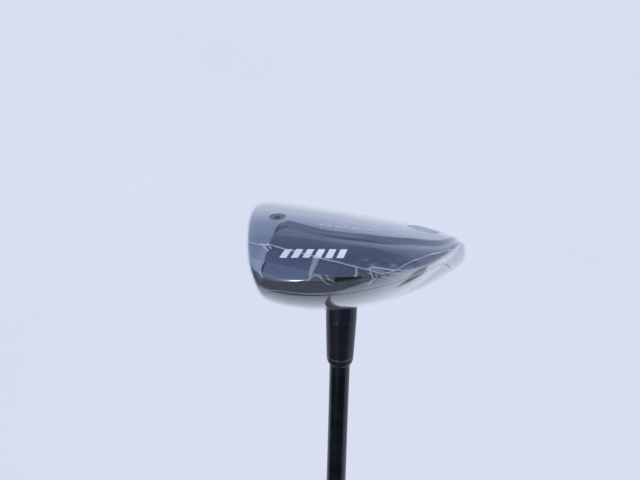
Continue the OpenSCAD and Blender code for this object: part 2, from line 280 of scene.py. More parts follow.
def buildLooseDust():
    # sparse specks and a faint film of dust
    tree = bpy.data.node_groups.new("looseDust", "ShaderNodeTree")
    socketOf(tree, "NodeSocketVector", "Vector")
    socketOf(tree, "NodeSocketFloat", "Speck Scale", 700.0)
    socketOf(tree, "NodeSocketFloat", "Density", 0.1)
    socketOf(tree, "NodeSocketFloat", "Dust", None, "OUTPUT")
    inside, outside = tree.nodes.new("NodeGroupInput"), tree.nodes.new("NodeGroupOutput")
    specks = tree.nodes.new("ShaderNodeTexVoronoi")
    tree.links.new(inside.outputs["Vector"], specks.inputs["Vector"])
    tree.links.new(inside.outputs["Speck Scale"], specks.inputs["Scale"])
    near = rangeNode(tree, specks.outputs["Distance"], inside.outputs["Density"], 0.0)
    patches = noiseNode(tree, inside.outputs["Vector"], 90.0, 2.0)
    gate = rangeNode(tree, patches, 0.48, 0.62)
    tree.links.new(mathNode(tree, "MULTIPLY", near, gate, True), outside.inputs["Dust"])
    return tree


def buildEdgeWear():
    # rubbed corners: where the surface is sharply convex, broken up by noise
    tree = bpy.data.node_groups.new("edgeWear", "ShaderNodeTree")
    socketOf(tree, "NodeSocketVector", "Vector")
    socketOf(tree, "NodeSocketFloat", "Start", 0.54)
    socketOf(tree, "NodeSocketFloat", "Break Up", 500.0)
    socketOf(tree, "NodeSocketFloat", "Wear", None, "OUTPUT")
    inside, outside = tree.nodes.new("NodeGroupInput"), tree.nodes.new("NodeGroupOutput")
    geometry = tree.nodes.new("ShaderNodeNewGeometry")
    end = mathNode(tree, "ADD", inside.outputs["Start"], 0.06)
    edge = rangeNode(tree, geometry.outputs["Pointiness"], inside.outputs["Start"], end)
    broken = rangeNode(tree, noiseNode(tree, inside.outputs["Vector"], inside.outputs["Break Up"], 4.0),
                       0.42, 0.58)
    tree.links.new(mathNode(tree, "MULTIPLY", edge, broken, True), outside.inputs["Wear"])
    return tree


surfaceGrain, looseDust, edgeWear = buildSurfaceGrain(), buildLooseDust(), buildEdgeWear()


def groupNode(tree, group, vector, **values):
    node = tree.nodes.new("ShaderNodeGroup")
    node.node_tree = group
    tree.links.new(vector, node.inputs["Vector"])
    for name, value in values.items():
        node.inputs[name].default_value = value
    return node


def startMaterial(name):
    material = bpy.data.materials.new(name)
    material.use_nodes = True
    tree = material.node_tree
    place = tree.nodes.new("ShaderNodeTexCoord").outputs["Object"]
    return material, tree, tree.nodes["Principled BSDF"], place


def blendColour(tree, factor, first, second):
    node = tree.nodes.new("ShaderNodeMix")
    node.data_type = "RGBA"
    ends = ((node.inputs["Factor"], factor), (node.inputs[6], first), (node.inputs[7], second))
    for socket, value in ends:
        if isinstance(value, (int, float)):
            socket.default_value = value
        elif isinstance(value, tuple):
            socket.default_value = (*value, 1.0)
        else:
            tree.links.new(value, socket)
    return node.outputs[2]


def overlay(tree, colour, mask, share, tone):
    # a tone laid over a colour where the mask is set
    return blendColour(tree, mathNode(tree, "MULTIPLY", mask, share), colour, tone)


def bumpInto(tree, shader, height, distance, strength=1.0, before=None):
    node = tree.nodes.new("ShaderNodeBump")
    node.inputs["Distance"].default_value = distance * mm
    node.inputs["Strength"].default_value = strength
    tree.links.new(height, node.inputs["Height"])
    if before is not None:
        tree.links.new(before, node.inputs["Normal"])
    tree.links.new(node.outputs["Normal"], shader.inputs["Normal"])
    return node.outputs["Normal"]


finishMarks = dict(wear=0.5, metalWear=0.6, dust=0.08, dustTone=(0.62, 0.65, 0.70), dustRoughness=0.12,
                   mouldedDust=0.12, mouldedDustTone=(0.55, 0.56, 0.58),
                   shaftDustTone=(0.6, 0.62, 0.66))


def lacquer(name, dark, light, roughness, coat, metallic=0.0, grain=900.0, height=0.004, dust=0.12,
            wear=(0.35, 0.36, 0.38), cloudScale=70.0, coatRoughness=0.05, ior=1.5):
    # sprayed paint or plating: a slow drift of tone, fine orange peel, specks of dust, rubbed corners
    material, tree, shader, place = startMaterial(name)
    grainNode = groupNode(tree, surfaceGrain, place, **{"Grain Scale": grain, "Cloud Scale": cloudScale})
    dustNode = groupNode(tree, looseDust, place, Density=dust)
    wearNode = groupNode(tree, edgeWear, place)
    colour = blendColour(tree, grainNode.outputs["Cloud"], dark, light)
    colour = overlay(tree, colour, wearNode.outputs["Wear"], finishMarks["wear"], wear)
    colour = overlay(tree, colour, dustNode.outputs["Dust"], finishMarks["dust"], finishMarks["dustTone"])
    tree.links.new(colour, shader.inputs["Base Color"])
    rough = rangeNode(tree, grainNode.outputs["Cloud"], 0.0, 1.0, roughness * 0.85, roughness * 1.2)
    rough = mathNode(tree, "ADD", rough, mathNode(tree, "MULTIPLY", dustNode.outputs["Dust"],
                                              finishMarks["dustRoughness"]), True)
    tree.links.new(rough, shader.inputs["Roughness"])
    shader.inputs["Metallic"].default_value = metallic
    shader.inputs["IOR"].default_value = ior
    shader.inputs["Coat Weight"].default_value = coat
    shader.inputs["Coat Roughness"].default_value = coatRoughness
    bumpInto(tree, shader, grainNode.outputs["Height"], height)
    return material


def brushedMetal(name, dark, light, roughness, direction=(1.0, 1.0, 1.0), scale=1400.0, height=0.003,
                 metallic=1.0):
    # machined metal: fine lines along one direction over a soft drift of tone
    material, tree, shader, place = startMaterial(name)
    lines = noiseNode(tree, stretched(tree, place, direction), scale, 4.0, 0.65)
    grainNode = groupNode(tree, surfaceGrain, place, **{"Grain Scale": 2200.0, "Cloud Scale": 120.0})
    wearNode = groupNode(tree, edgeWear, place)
    colour = blendColour(tree, rangeNode(tree, lines, 0.3, 0.7), dark, light)
    colour = overlay(tree, colour, wearNode.outputs["Wear"], finishMarks["metalWear"],
                     tuple(min(1, c * 1.6) for c in light))
    tree.links.new(colour, shader.inputs["Base Color"])
    tree.links.new(rangeNode(tree, grainNode.outputs["Cloud"], 0.0, 1.0, roughness * 0.8, roughness * 1.25),
                   shader.inputs["Roughness"])
    shader.inputs["Metallic"].default_value = metallic
    bumpInto(tree, shader, lines, height)
    return material


def moulded(name, dark, light, roughness, grain=1500.0, height=0.01, dust=0.12, specular=0.5):
    # rubber, plastic, tape and glue: a fine matte grain and a little dust
    material, tree, shader, place = startMaterial(name)
    grainNode = groupNode(tree, surfaceGrain, place, **{"Grain Scale": grain, "Cloud Scale": 150.0})
    dustNode = groupNode(tree, looseDust, place, Density=dust)
    colour = blendColour(tree, grainNode.outputs["Cloud"], dark, light)
    colour = overlay(tree, colour, dustNode.outputs["Dust"], finishMarks["mouldedDust"],
                     finishMarks["mouldedDustTone"])
    tree.links.new(colour, shader.inputs["Base Color"])
    tree.links.new(rangeNode(tree, grainNode.outputs["Height"], 0.3, 0.7, roughness * 0.85,
                             min(1.0, roughness * 1.15)), shader.inputs["Roughness"])
    shader.inputs["Specular IOR Level"].default_value = specular
    bumpInto(tree, shader, grainNode.outputs["Height"], height)
    return material


# camera, floor and light
print("stage: studio")
studio = dict(
    cameraPlace=(0.0787, -0.2671, 1.1674), turn=18.47, climb=30.58, roll=0.8, lens=43.3,
    floorSize=60.0, floorTone=(0.80, 0.81, 0.83), floorShade=(0.78, 0.79, 0.815),
    sky=((0.0, (0.74, 0.79, 0.91)), (0.30, (0.74, 0.79, 0.91)), (0.66, (0.46, 0.52, 0.66)),
         (1.0, (0.40, 0.46, 0.60))),
    skyStrength=1.05, sunPlace=(-2.0, 1.5, 5.0), sunStrength=1.15, sunSpread=50,
    lampPlace=(-0.31, -0.92, 0.22), lampAim=(0, -0.1, 1.05), lampSize=0.035, lampPower=0.8)
# cards that lie on the floor, in metres: name, middle, width, length and tone
cards = [
    ("nearFlag", (-0.75, -0.60, 0.003), 1.7, 0.95, (0.006, 0.006, 0.008)),
    ("wideFlag", (0.90, -1.38, 0.003), 1.6, 2.5, (0.006, 0.006, 0.008)),
    ("brownFlag", (0.14, 0.93, 0.004), 0.10, 0.24, (0.16, 0.14, 0.13))]


def buildCamera():
    turn, climb, roll = (math.radians(studio[k]) for k in ("turn", "climb", "roll"))
    back = Vector((math.sin(turn) * math.cos(climb), -math.cos(turn) * math.cos(climb), math.sin(climb)))
    right = Vector((math.cos(turn), math.sin(turn), 0))
    up = back.cross(right)
    tilted = right * math.cos(roll) + up * math.sin(roll)
    raised = up * math.cos(roll) - right * math.sin(roll)
    data = bpy.data.cameras.new("camera")
    data.lens, data.sensor_width, data.clip_start = studio["lens"], 36.0, 0.01
    camera = bpy.data.objects.new("camera", data)
    bpy.context.scene.collection.objects.link(camera)
    matrix = Matrix((tilted, raised, back)).transposed().to_4x4()
    matrix.translation = Vector(studio["cameraPlace"])
    camera.matrix_world = matrix
    bpy.context.scene.camera = camera


def buildFloor():
    material, tree, shader, place = startMaterial("paleFloor")
    cloud = noiseNode(tree, place, 0.8, 3.0)
    colour = blendColour(tree, rangeNode(tree, cloud, 0.35, 0.65), studio["floorTone"], studio["floorShade"])
    tree.links.new(colour, shader.inputs["Base Color"])
    shader.inputs["Roughness"].default_value = 0.9
    shader.inputs["Specular IOR Level"].default_value = 0.2
    half = studio["floorSize"] * 500
    floor = addObject("floor", [(-half, -half, 0), (half, -half, 0), (half, half, 0), (-half, half, 0)],
                      [(0, 1, 2, 3)], material)


def diskLight(name, place, target, size, energy):
    data = bpy.data.lights.new(name, "AREA")
    data.shape, data.size, data.energy = "DISK", size, energy
    light = bpy.data.objects.new(name, data)
    light.location = place
    light.rotation_euler = (Vector(target) - Vector(place)).to_track_quat("-Z", "Y").to_euler()
    bpy.context.scene.collection.objects.link(light)
    return light


def darkCard(name, centre, normal, width, height, tone):
    # an unlit card that only mirrors see, like a black flag beside the table
    material = bpy.data.materials.new(name)
    material.use_nodes = True
    shader = material.node_tree.nodes["Principled BSDF"]
    shader.inputs["Base Color"].default_value = (*tone, 1)
    shader.inputs["Specular IOR Level"].default_value = 0.0
    shader.inputs["Roughness"].default_value = 1.0
    side = Vector(normal).cross(Vector((0, 1, 0))).normalized()
    up = side.cross(Vector(normal)).normalized()
    corners = [Vector(centre) + side * (x * width / 2) + up * (y * height / 2)
               for x, y in ((-1, -1), (1, -1), (1, 1), (-1, 1))]
    card = addObject(name, [tuple(c * 1000) for c in corners], [(0, 1, 2, 3)], material)
    card.visible_camera = card.visible_shadow = card.visible_diffuse = False
    card.visible_transmission = card.visible_volume_scatter = False


def buildLight():
    world = bpy.data.worlds.new("studioSky")
    world.use_nodes = True
    background = world.node_tree.nodes["Background"]
    background.inputs["Strength"].default_value = studio["skyStrength"]
    # bright round the horizon and dimmer overhead, as in a room lit through its windows
    tree = world.node_tree
    direction = tree.nodes.new("ShaderNodeSeparateXYZ")
    tree.links.new(tree.nodes.new("ShaderNodeTexCoord").outputs["Generated"], direction.inputs[0])
    ramp = tree.nodes.new("ShaderNodeValToRGB")
    ramp.color_ramp.interpolation = "EASE"
    for i, (place, tone) in enumerate(studio["sky"]):
        stop = ramp.color_ramp.elements[i] if i < 2 else ramp.color_ramp.elements.new(place)
        stop.position, stop.color = place, (*tone, 1)
    tree.links.new(direction.outputs["Z"], ramp.inputs["Fac"])
    tree.links.new(ramp.outputs["Color"], background.inputs["Color"])
    bpy.context.scene.world = world
    data = bpy.data.lights.new("softSun", "SUN")
    data.energy, data.angle = studio["sunStrength"], math.radians(studio["sunSpread"])
    sun = bpy.data.objects.new("softSun", data)
    sun.rotation_euler = (-Vector(studio["sunPlace"])).to_track_quat("-Z", "Y").to_euler()
    sun.visible_glossy = False
    bpy.context.scene.collection.objects.link(sun)
    bpy.context.scene.view_settings.view_transform = "Standard"


buildCamera()
buildFloor()
buildLight()
for cardName, middle, width, length, tone in cards:
    darkCard(cardName, middle, (0, 0, 1), width, length, tone)
sparkle = diskLight("sparkle", studio["lampPlace"], studio["lampAim"], studio["lampSize"],
                    studio["lampPower"])
sparkle.visible_camera = False

# the head
print("stage: head shell")
shell = dict(wall=1.6, crownWall=1.1, recess=0.30, recessTop=0.85, panelLeft=-17.5, seamRound=0.12)
# the upper edge of the toe panel, and the line where the side's satin meets the gloss black of the crown's
# edge; that line traces a dark reflection band, so the black below it is partly painted reflection
panelTop = curveOf([(-48, -0.62), (-30, -0.66), (-17.5, -0.63), (-0.5, -0.60), (19.5, -0.612), (43.5, -0.585),
                    (64.5, -0.44), (90, -0.40), (130, -0.45), (180, -0.55), (228, -0.62), (270, -0.62)])


def seamLevel(angle):
    s = np.sin(np.radians(angle))
    return head["rearSeam"] + (head["frontSeam"] - head["rearSeam"]) * smooth((-s - 0.2) / 0.5)


def faceTop(angle):
    return seamLevel(angle) * head["faceLevel"] / head["frontSeam"]


# painted reflection: the crown edge's near-black reaches down to this line, which traces a dark reflection
# band; nearer the crown the black is the real gloss paint
reflectionBandLine = curveOf([(-47, 0.62), (-34, 0.53), (-20, 0.42), (-10, 0.34), (0, 0.24), (7, 0.08), (14.5, -0.03),
                     (22, -0.05), (29, 0.02), (37, 0.14), (46.5, 0.24), (64.5, 0.30), (103, 0.33),
                     (150, 0.36), (190, 0.36), (214, 0.42), (227, 0.62), (240, 0.62), (270, 0.62),
                     (300, 0.62)])


def frontShare(angle):
    # 1 at the face plate's columns, 0 elsewhere, with a short blend beside it
    turned = np.mod(angle, 360)
    return smooth((turned - head["faceFrom"] + 8) / 8) * smooth((head["faceTo"] + 8 - turned) / 8)


def lowLine(angle):
    share = frontShare(angle)
    return share * -head["faceLevel"] + (1 - share) * panelTop(angle)


def highLine(angle):
    share = frontShare(angle)
    return share * faceTop(angle) + (1 - share) * np.minimum(reflectionBandLine(angle), seamLevel(angle) - 0.12)


def levelOfSpread(spread):
    return np.degrees(np.arccos(np.clip(spread, 0, 1) ** 2.5)) / 90


def spreadOfLevel(level):
    return np.cos(np.radians(np.abs(level) * 90)) ** 0.4


# rows run 0-1 over the sole, 1-2 over the side, 2-3 over the shoulder and 3-4 over the crown
def levelAt(row, angle):
    low, high, seam = lowLine(angle), highLine(angle), seamLevel(angle)
    sole = -levelOfSpread(row * spreadOfLevel(low))
    side = low + (high - low) * (row - 1)
    shoulder = high + (seam - high) * (row - 2)
    crown = levelOfSpread((4 - row) * spreadOfLevel(seam))
    return np.where(row < 1, sole, np.where(row < 2, side, np.where(row < 3, shoulder, crown)))


soleRows = np.concatenate([np.linspace(0, 0.97, 34), [0.985]])
sideRows = np.concatenate([[1, 1.008, 1.016], np.linspace(1.03, 1.97, 62), [1.985]])
shoulderRows = np.linspace(2, 2.93, 16)
crownRows = np.linspace(3, 4, 36)
rowSteps = np.concatenate([soleRows, sideRows, shoulderRows, [2.98], crownRows])
columnSteps = np.concatenate([
    np.arange(-60, -24, 1.0), np.arange(-24, -19.5, 0.75), np.arange(-19.5, -15.5, 0.25),
    np.arange(-15.5, 40, 0.7), np.arange(40, 110, 1.0), np.arange(110, 300, 2.0)])

# the panel's left edge leans with the level; columns near it lean the same way
leftLevels = np.array([-0.9, -0.64, -0.56, -0.425, -0.3, 0.0, 0.355, 0.6])
leftAngles = np.array([-12.0, -17.0, -19.0, -17.7, -16.6, -15.6, -18.3, -21.0])


def leanColumns(angle, row):
    level = levelAt(row, angle)
    edge = np.interp(level, leftLevels, leftAngles)
    near = np.mod(angle + 180, 360) - 180
    weight = np.exp(-((near - shell["panelLeft"]) / 7.0) ** 2) * smooth((row - 0.6) / 0.4) \
        * smooth((2.6 - row) / 0.5)
    return angle + (edge - shell["panelLeft"]) * weight


def panelPush(columns, rows):
    # the toe panel lies a little deeper than the sole, the face's flank and the crown's edge
    near = np.mod(columns + 180, 360) - 180
    left = smooth((near - shell["panelLeft"]) / 0.5)
    right = smooth((118 - near) / 24)
    top = smooth((rows - 1.0) / (0.03 + 0.10 * smooth((near - 10) / 50)))
    bottom = smooth((2.0 - rows) / 0.20)
    depth = shell["recess"] + shell["recessTop"] * smooth((1.34 - rows) / 0.34)
    return -depth * left * right * top * bottom


def headGrid(name, keep, material, slotsOf=None, inset=0.0, push=None, rows=rowSteps, columns=columnSteps,
             lean=True, wall=None):
    # the cells that keep() names, as one skin, or with a wall as a closed shell between two skins
    columnGrid, rowGrid = np.meshgrid(columns, rows)
    angle = leanColumns(columnGrid, rowGrid) if lean else columnGrid
    level = levelAt(rowGrid, angle)
    points = headPoints(angle, level, inset)
    if push is not None:
        moved = push(columnGrid, rowGrid, angle, level, points)
        points = points + outwardAt(angle, level, inset) * moved[..., None]
    points = points.reshape(-1, 3)
    size = len(points)
    if wall is not None:
        points = np.concatenate([points, headPoints(angle, level, inset + wall).reshape(-1, 3)])
    count = len(columns)
    nextColumn = np.append(columns[1:], columns[0] + 360)
    kept = np.array([[keep((low + high) / 2, (a + b) / 2 % 360) for a, b in zip(columns, nextColumn)]
                     for low, high in zip(rows[:-1], rows[1:])])
    faces, slots = [], []
    for i, j in np.argwhere(kept):
        k = (j + 1) % count
        a, b, c, d = i * count + j, i * count + k, (i + 1) * count + k, (i + 1) * count + j
        slot = slotsOf((rows[i] + rows[i + 1]) / 2, (columns[j] + nextColumn[j]) / 2) if slotsOf else 0
        faces.append((a, d, c, b))
        slots.append(slot)
        if wall is None:
            continue
        faces.append((a + size, b + size, c + size, d + size))
        slots.append(slot)
        sides = [(i - 1, j, b, a), (i, k, c, b), (i + 1, j, d, c), (i, j - 1, a, d)]
        for row, column, first, second in sides:
            pole = (row < 0) or (row >= len(rows) - 1)
            atPole = pole and (rows[0] == 0 if row < 0 else rows[-1] == 4)
            if atPole or (not pole and kept[row, column % count]):
                continue
            faces.append((second, second + size, first + size, first))
            slots.append(slot)
    used = np.unique(np.array(faces))
    renumber = np.full(len(points), -1)
    renumber[used] = np.arange(len(used))
    thing = addObject(name, points[used], renumber[np.array(faces)], material, slots)
    return thing, used


def inFace(row, column):
    return 1 < row < 2 and head["faceFrom"] < column < head["faceTo"]


soleFinish = lacquer("soleSatin", (0.25, 0.30, 0.42), (0.29, 0.345, 0.47), 0.20, 1.0, metallic=1.0,
                     height=0.0015, dust=0.10, coatRoughness=0.06)
# painted shade: the toe panel is the sole's satin in a darker tone, standing in for the darker reflection of
# its recessed face
panelSatinPaintedShade = lacquer("toePanelSatinPaintedShade", (0.080, 0.106, 0.185), (0.095, 0.124, 0.212), 0.20, 0.8,
                      metallic=1.0, height=0.0015, dust=0.10, coatRoughness=0.06)
# near-black gloss of the crown's edge: real gloss paint near the crown, painted reflection lower down the
# side where it stands in for a dark reflection band
edgeGlossAndPaintedReflection = lacquer("crownEdgeGlossAndPaintedReflection", (0.004, 0.005, 0.007), (0.007, 0.008, 0.011), 0.06, 1.0, height=0.002,
                     dust=0.14, coatRoughness=0.02, ior=1.6)
crownFinish = lacquer("crownGloss", (0.004, 0.005, 0.008), (0.008, 0.009, 0.013), 0.06, 1.0, height=0.002,
                      dust=0.14, coatRoughness=0.02, ior=1.6)
faceFinish = brushedMetal("faceSteel", (0.20, 0.205, 0.215), (0.34, 0.345, 0.36), 0.34,
                          direction=(1.0, 0.12, 1.0), height=0.004)


def bodySlot(row, column):
    near = (column + 180) % 360 - 180
    if row > 2:
        return 2
    if 1 < row < 2 and near > shell["panelLeft"] and near < 106:
        return 1
    return 0


def spotOn(angle, level):
    spot = Vector(headPoints(angle, level).tolist()) * mm
    return spot, Vector(outwardAt(angle, level).tolist())


def roundCutter(name, spot, outward, radius, depth, above, segments=64):
    matrix = outward.to_track_quat("Z", "Y").to_matrix().to_4x4()
    matrix.translation = spot
    turn = [2 * math.pi * i / segments for i in range(segments)]
    points = [matrix @ Vector((radius * mm * math.cos(t), radius * mm * math.sin(t), z * mm))
              for z in (-depth, above) for t in turn]
    faces = [tuple(range(segments))[::-1], tuple(range(segments, 2 * segments))]
    faces += [(i, (i + 1) % segments, segments + (i + 1) % segments, segments + i) for i in range(segments)]
    return addObject(name, [tuple(p / mm) for p in points], faces, [])


weight = dict(length=34, width=9, thickness=4, fromMiddle=3, fromRear=12)


def weightCutter(name, margin):
    # the slot-shaped outline of the rear weight, as a prism through the sole
    half = (weight["length"] - weight["width"]) / 2
    radius = weight["width"] / 2 + margin
    across0 = head["widestLine"] + head["rearReach"] - weight["fromRear"]
    along0 = head["middle"] - weight["fromMiddle"]
    outline = []
    for side in (-1, 1):
        for i in range(25):
            t = math.pi * i / 24 + (0 if side > 0 else math.pi)
            outline.append((along0 + side * half + radius * math.sin(t),
                            across0 + radius * math.cos(t)))
    points = [clubPoint(np.array(a), np.array(b), np.array(up)) for up in (-6, 10) for a, b in outline]
    count = len(outline)
    faces = [tuple(range(count)), tuple(range(count, 2 * count))[::-1]]
    faces += [(i, count + i, count + (i + 1) % count, (i + 1) % count) for i in range(count)]
    cutter = addObject(name, points, faces, [])
    faceOutward(cutter)
    return cutter


port = dict(diameter=4.6, angle=336, level=-0.66, length=4, sink=0.15, socket=2.4, socketDepth=1.6)
portSpot, portOut = spotOn(port["angle"], port["level"])


def buildBody():
    body, _ = headGrid(
        "headBody", lambda row, column: row < 3 and not inFace(row, column),
        [soleFinish, panelSatinPaintedShade, edgeGlossAndPaintedReflection], bodySlot,
        push=lambda columns, rows, angle, level, points: panelPush(columns, rows)
        - shell["seamRound"] * 0.5 * np.exp(-((3 - rows) / 0.05) ** 2) * (rows > 2.5), wall=shell["wall"])
    weld(body)
    portHole = roundCutter("portHole", portSpot, portOut, port["diameter"] / 2 + 0.1, 5, 2)
    weightHole = weightCutter("weightHole", 0.1)
    cutBy(body, portHole, weightHole)
    discard(portHole, weightHole)
    sharpen(body, 40)
    return finishPiece(body, "body_paint", "head_body")


headBody = buildBody()


def buildCrown():
    crown, _ = headGrid(
        "crownPanel", lambda row, column: row > 3, crownFinish,
        push=lambda columns, rows, angle, level, points:
        -shell["seamRound"] * 0.5 * np.exp(-((rows - 3) / 0.012) ** 2),
        rows=np.concatenate([[3.004, 3.01, 3.02], crownRows[1:]]), wall=shell["crownWall"])
    weld(crown)
    sharpen(crown, 40)
    return finishPiece(crown, "crown_paint", "crown_panel")


crownPanel = buildCrown()

print("stage: face")
score = dict(width=0.75, depth=0.3, fromToe=62.5, fromHeel=20.0, low=6.5, high=27.0, count=7)


def buildFace():
    plate, _ = headGrid("facePlate", inFace, faceFinish, rows=np.append(sideRows, 2.0), wall=shell["wall"])
    weld(plate)
    stations = np.linspace(score["fromHeel"], score["fromToe"], 24)
    points, faces = [], []
    for up in np.linspace(score["low"], score["high"], score["count"]):
        base = len(points)
        for along in stations:
            for shift, lift in ((-1, 1), (1, 1), (1, -1), (-1, -1)):
                h = up + shift * score["width"] / 2
                across = facePlace(along, h) - (0.8 if lift > 0 else -score["depth"])
                points.append(clubPoint(np.array(along), np.array(across), np.array(h)))
        last = base + 4 * (len(stations) - 1)
        faces += [(base + 3, base + 2, base + 1, base), (last, last + 1, last + 2, last + 3)]
        for row in range(base, last, 4):
            faces += [(row + k, row + (k + 1) % 4, row + 4 + (k + 1) % 4, row + 4 + k) for k in range(4)]
    cutter = addObject("scoreCutter", points, faces, [])
    faceOutward(cutter)
    cutBy(plate, cutter)
    discard(cutter)
    sharpen(plate, 35)
    return finishPiece(plate, "face_steel", "face_plate")


buildFace()

print("stage: port plug and rear weight")
plugFinish = brushedMetal("portPlugSteel", (0.09, 0.10, 0.12), (0.16, 0.17, 0.20), 0.30, scale=2500.0)
weightFinish = brushedMetal("rearWeightAlloy", (0.20, 0.24, 0.34), (0.27, 0.32, 0.44), 0.26,
                            direction=(1.0, 0.15, 0.15), scale=1800.0)


def buildPlug():
    radius, sink = port["diameter"] / 2, port["sink"]
    matrix = portOut.to_track_quat("Z", "Y").to_matrix().to_4x4()
    matrix.translation = portSpot
    rings = [(radius, -port["length"]), (radius, -sink - 0.25), (radius - 0.08, -sink - 0.08),
             (radius - 0.3, -sink), (radius - 0.75, -sink), (radius - 0.82, -sink - 0.06)]
    segments = 72
    points, faces = [], []
    for r, z in rings:
        for i in range(segments):
            t = 2 * math.pi * i / segments
            points.append(matrix @ Vector((r * mm * math.cos(t), r * mm * math.sin(t), z * mm)) / mm)

    def hexagon(size, z):
        apothem = size / 2 * math.cos(math.pi / 6)
        for i in range(segments):
            t = 2 * math.pi * i / segments
            wedge = (t % (math.pi / 3)) - math.pi / 6
            r = apothem / math.cos(wedge)
            points.append(matrix @ Vector((r * mm * math.cos(t), r * mm * math.sin(t), z * mm)) / mm)

    hexagon(port["socket"] + 0.2, -sink - 0.06)
    hexagon(port["socket"], -sink - 0.2)
    hexagon(port["socket"], -sink - port["socketDepth"])
    ringCount = len(rings) + 3
    for k in range(ringCount - 1):
        for i in range(segments):
            j = (i + 1) % segments
            faces.append((k * segments + i, k * segments + j, (k + 1) * segments + j, (k + 1) * segments + i))
    faces.append(tuple(range(segments))[::-1])
    faces.append(tuple(range((ringCount - 1) * segments, ringCount * segments)))
    plug = addObject("portPlug", points, faces, plugFinish)
    sharpen(plug, 30)
    return finishPiece(plug, "plug_steel", "port_plug")


buildPlug()


def buildWeight():
    block, _ = headGrid("rearWeight", lambda row, column: row < 1.4 and 20 < column < 160, weightFinish,
                           lean=False, wall=weight["thickness"])
    weld(block)
    prism = weightCutter("weightPrism", 0.0)
    cutBy(block, prism, operation="INTERSECT")
    discard(prism)
    bevel = block.modifiers.new("rim", "BEVEL")
    bevel.width, bevel.segments, bevel.limit_method = 0.15 * mm, 2, "ANGLE"
    bevel.angle_limit = math.radians(50)
    applyAll(block)
    sharpen(block, 35)
    return finishPiece(block, "weight_steel", "rear_weight")


buildWeight()

# hosel, ferrule and shaft
print("stage: hosel, ferrule and shaft")
neck = dict(diameter=13.8, top=52, insertion=31.8, bore=9.7, plugLength=3, fillet=2.6, segments=144,
            castFrom=940)
hoselEnd = head["clubLength"] - neck["top"]
tipHeight = hoselEnd + neck["insertion"]
hoselFinish = lacquer("hoselGloss", (0.010, 0.011, 0.019), (0.015, 0.016, 0.026), 0.26, 0.0, height=0.003,
                      dust=0.14, ior=1.30)


def wholeHeadTree():
    whole, _ = headGrid("wholeHead", lambda row, column: True, [], lean=False)
    weld(whole)
    work = bmesh.new()
    work.from_mesh(whole.data)
    tree = BVHTree.FromBMesh(work)
    work.free()
    discard(whole)
    return tree


headTree = wholeHeadTree()


def buildHosel():
    radius, bore = neck["diameter"] / 2, neck["bore"] / 2
    turn = np.linspace(0, 2 * np.pi, neck["segments"], endpoint=False)
    depth = hoselEnd + neck["insertion"] + neck["plugLength"]
    meets = []
    for t in turn:
        hit = headTree.ray_cast(Vector((radius * mm * math.cos(t), radius * mm * math.sin(t),
                                       neck["castFrom"] * mm)),
                                Vector((0, 0, 1)))[0]
        meets.append(hit.z / mm if hit else np.nan)
    meets = np.array(meets)
    known = ~np.isnan(meets)
    print("hosel meets the head at", round(float(np.nanmin(meets)), 1), round(float(np.nanmax(meets)), 1),
          "missed", int((~known).sum()))
    meets = np.interp(np.arange(len(meets)), np.arange(len(meets))[known], meets[known], period=len(meets))
    columns = []
    for t, meet in zip(turn, meets):
        direction = np.array([math.cos(t), math.sin(t)])
        start = meet - neck["fillet"]
        spot = Vector((*((radius + neck["fillet"]) * mm * direction), meet * mm))
        near = headTree.find_nearest(spot)
        end = np.array(near[0]) / mm - np.array(near[1]) * 0.12
        corner = np.array([*(radius * direction), meet])
        above = np.array([*(radius * direction), start])
        column = [(bore * direction[0], bore * direction[1], depth),
                  (bore * direction[0], bore * direction[1], hoselEnd + 0.3),
                  ((bore + 0.3) * direction[0], (bore + 0.3) * direction[1], hoselEnd),
                  ((radius - 0.06) * direction[0], (radius - 0.06) * direction[1], hoselEnd),
                  (radius * direction[0], radius * direction[1], hoselEnd + 0.06)]
        for z in np.linspace(hoselEnd + 0.6, start - 0.3, 14):
            column.append((radius * direction[0], radius * direction[1], z))
        for u in np.linspace(0, 1, 12):
            column.append(tuple((1 - u) ** 2 * above + 2 * u * (1 - u) * corner + u * u * end))
        column.append(tuple(end * 0.6 + np.array([0, 0, depth]) * 0.4))
        columns.append(column)
    columns = np.array(columns)
    count, steps = columns.shape[:2]
    faces = []
    for i in range(count):
        j = (i + 1) % count
        for k in range(steps):
            l = (k + 1) % steps
            faces.append((i * steps + k, j * steps + k, j * steps + l, i * steps + l))
    hosel = addObject("hosel", columns.reshape(-1, 3), faces, hoselFinish)
    faceOutward(hosel)
    sharpen(hosel, 35)
    return finishPiece(hosel, "hosel_paint", "hosel")


buildHosel()

ferrule = dict(length=25.6, endDiameter=12.4, rounding=3.4, lip=0.5, ringFromEnd=3.8, ringWidth=0.8,
               ringDepth=0.4, bore=9.46)
ferruleFinish = lacquer("ferrulePlastic", (0.009, 0.010, 0.018), (0.014, 0.015, 0.025), 0.28, 0.0,
                        height=0.002, dust=0.14, ior=1.30)
ringFinish = lacquer("trimRing", (0.030, 0.032, 0.040), (0.045, 0.048, 0.058), 0.30, 0.3, height=0.002)
tipDiameter = 9.4


def ferruleRadius(height):
    end, lip = ferrule["endDiameter"] / 2, tipDiameter / 2 + ferrule["lip"]
    if height >= ferrule["rounding"]:
        share = (height - ferrule["rounding"]) / (ferrule["length"] - ferrule["rounding"])
        return end + (neck["diameter"] / 2 - end) * share
    return lip + (end - lip) * math.sqrt(1 - (1 - height / ferrule["rounding"]) ** 2)


